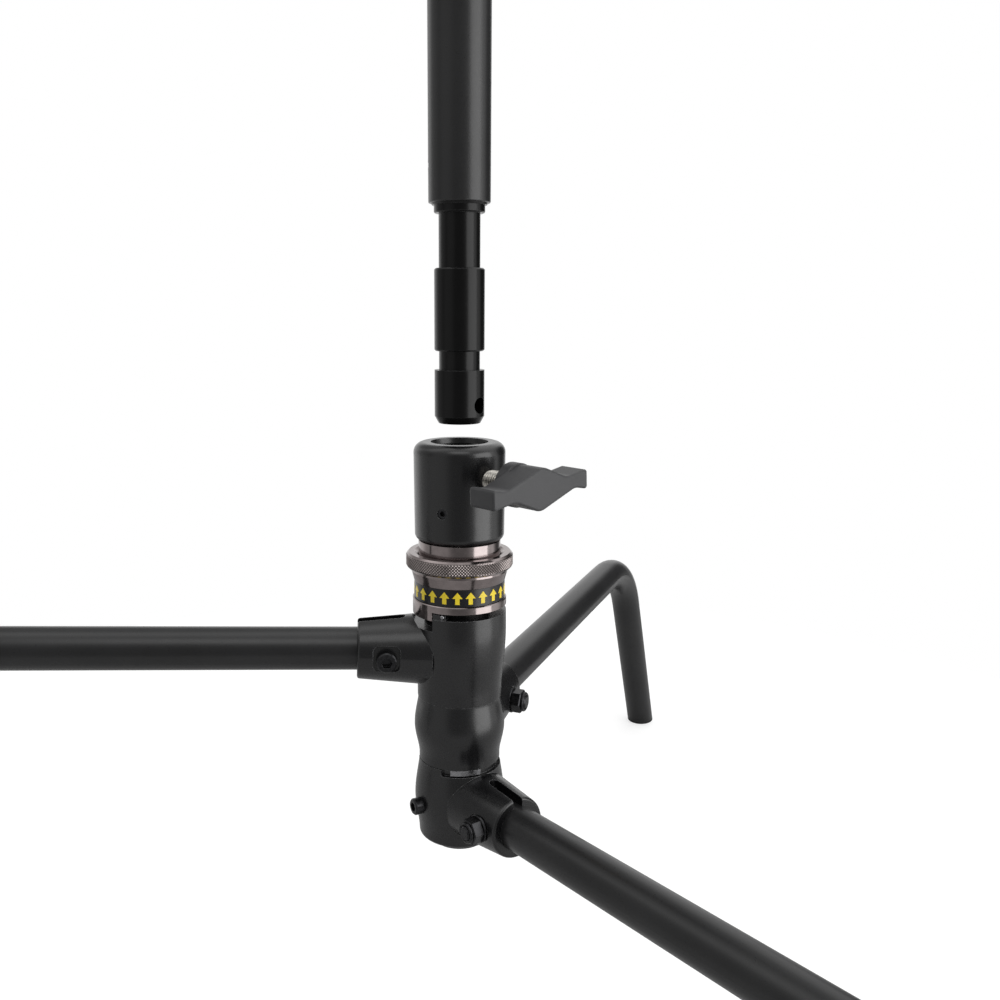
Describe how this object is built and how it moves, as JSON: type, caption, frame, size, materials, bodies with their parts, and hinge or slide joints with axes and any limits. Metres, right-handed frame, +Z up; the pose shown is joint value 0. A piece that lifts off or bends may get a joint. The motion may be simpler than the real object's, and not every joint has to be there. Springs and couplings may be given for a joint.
{
  "type": "c stand",
  "caption": "Turtle-base C-stand with three nesting bent legs, a pull-up release collar, a lift-out column on a spigot and two telescoping risers clamped by T-handles.",
  "frame": {"origin": "where the vertical hub axis meets the floor", "axes": "+Z up along the column; the upper leg points along -X, the middle leg 60 degrees from +X towards +Y, the lower leg 60 degrees from +X towards -Y"},
  "size_m": [0.7547, 0.7951, 1.5699],
  "materials": {
    "cast_black": "satin black powder coat on castings",
    "tube_black": "matte dark grey-black tube finish",
    "spigot_black": "smooth black coated steel",
    "black_oxide": "black oxide fasteners",
    "foot_rubber": "matte black rubber",
    "dark_nickel": "polished dark nickel plate",
    "band_print": "black band with plain yellow arrow marks",
    "spring_steel": "bright spring steel",
    "handle_grey": "matte grey moulding",
    "zinc_screw": "zinc-plated thread",
    "brass": "machined",
    "black_nylon": "moulded nylon",
    "stud_steel": "turned steel"
  },
  "bodies": {
    "base": {"central_post": "tube_black", "receiver": "cast_black", "receiver_grub_screws": "black_oxide", "guide_sleeve": "dark_nickel", "hub_set_screw": "black_oxide", "post_end_plug": "black_nylon", "thrust_washers": "brass", "release_spring": "spring_steel", "lower_leg_hub": "cast_black", "lower_leg_tube": "tube_black", "lower_leg_bolt": "black_oxide", "lower_leg_nut": "black_oxide", "lower_leg_washer": "black_oxide", "lower_leg_foot": "foot_rubber"},
    "upper_leg": {"upper_leg_hub": "cast_black", "upper_leg_tube": "tube_black", "upper_leg_bolt": "black_oxide", "upper_leg_nut": "black_oxide", "upper_leg_washer": "black_oxide", "upper_leg_foot": "foot_rubber", "detent_ball": "spring_steel"},
    "middle_leg": {"middle_leg_hub": "cast_black", "middle_leg_tube": "tube_black", "middle_leg_bolt": "black_oxide", "middle_leg_nut": "black_oxide", "middle_leg_washer": "black_oxide", "middle_leg_foot": "foot_rubber", "stop_key": "spring_steel"},
    "release_collar": {"release_collar": "dark_nickel", "release_band": "band_print", "lock_ring": "dark_nickel"},
    "receiver_knob": {"receiver_handle": "handle_grey", "receiver_screw": "zinc_screw"},
    "receiver_brake": {"receiver_pad": "brass"},
    "column": {"column_tube": "tube_black", "column_spigot": "spigot_black", "spigot_pin": "spigot_black", "lower_clamp": "cast_black", "lower_clamp_bush": "black_nylon", "lower_clamp_grub_screws": "black_oxide"},
    "lower_knob": {"lower_clamp_handle": "handle_grey", "lower_clamp_screw": "zinc_screw"},
    "lower_brake": {"lower_clamp_pad": "brass"},
    "middle_riser": {"middle_riser_tube": "tube_black", "middle_riser_guide": "black_nylon", "upper_clamp": "cast_black", "upper_clamp_bush": "black_nylon", "upper_clamp_grub_screws": "black_oxide"},
    "upper_knob": {"upper_clamp_handle": "handle_grey", "upper_clamp_screw": "zinc_screw"},
    "upper_brake": {"upper_clamp_pad": "brass"},
    "upper_riser": {"upper_riser_tube": "tube_black", "upper_riser_guide": "black_nylon", "top_stud": "stud_steel", "top_stud_pin": "stud_steel"}
  },
  "joints": [
    {"name": "upper_leg_swing", "type": "hinge", "parent": "base", "child": "upper_leg", "pos_m": [0, 0, 0.226], "axis": [0, 0, 1], "range_deg": [0, 120]},
    {"name": "middle_leg_swing", "type": "hinge", "parent": "base", "child": "middle_leg", "pos_m": [0, 0, 0.1814], "axis": [0, 0, 1], "range_deg": [0, 240]},
    {"name": "release_collar_lift", "type": "slide", "parent": "base", "child": "release_collar", "axis": [0, 0, 1], "range_m": [0, 0.006], "stiffness_N_per_m": 1500, "springref_m": -0.006, "deforming": ["release_spring"]},
    {"name": "column_lift", "type": "slide", "parent": "base", "child": "column", "axis": [0, 0, 1], "range_m": [-0.1319, 0]},
    {"name": "middle_riser_slide", "type": "slide", "parent": "column", "child": "middle_riser", "axis": [0, 0, 1], "range_m": [0, 0.69]},
    {"name": "upper_riser_slide", "type": "slide", "parent": "middle_riser", "child": "upper_riser", "axis": [0, 0, 1], "range_m": [0, 0.68]},
    {"name": "receiver_brake_slide", "type": "slide", "parent": "base", "child": "receiver_brake", "axis": [0.5906, -0.807, 0], "range_m": [-0.00175, 0]},
    {"name": "receiver_knob_turn", "type": "hinge", "parent": "receiver_brake", "child": "receiver_knob", "pos_m": [0.01772, -0.02421, 0.3313], "axis": [0.5906, -0.807, 0], "range_deg": [-360, 0]},
    {"name": "lower_brake_slide", "type": "slide", "parent": "column", "child": "lower_brake", "axis": [0.5906, -0.807, 0], "range_m": [0, 0.00175]},
    {"name": "lower_knob_turn", "type": "hinge", "parent": "lower_brake", "child": "lower_knob", "pos_m": [0.01772, -0.02421, 1.3957], "axis": [0.5906, -0.807, 0], "range_deg": [0, 360]},
    {"name": "upper_brake_slide", "type": "slide", "parent": "middle_riser", "child": "upper_brake", "axis": [0.5906, -0.807, 0], "range_m": [0, 0.00175]},
    {"name": "upper_knob_turn", "type": "hinge", "parent": "upper_brake", "child": "upper_knob", "pos_m": [0.01772, -0.02421, 1.4647], "axis": [0.5906, -0.807, 0], "range_deg": [0, 360]}
  ],
  "couplings": [
    {"joint": "receiver_brake_slide", "follows": "receiver_knob_turn", "m_per_rad": 0.00027852},
    {"joint": "lower_brake_slide", "follows": "lower_knob_turn", "m_per_rad": 0.00027852},
    {"joint": "upper_brake_slide", "follows": "upper_knob_turn", "m_per_rad": 0.00027852}
  ]
}
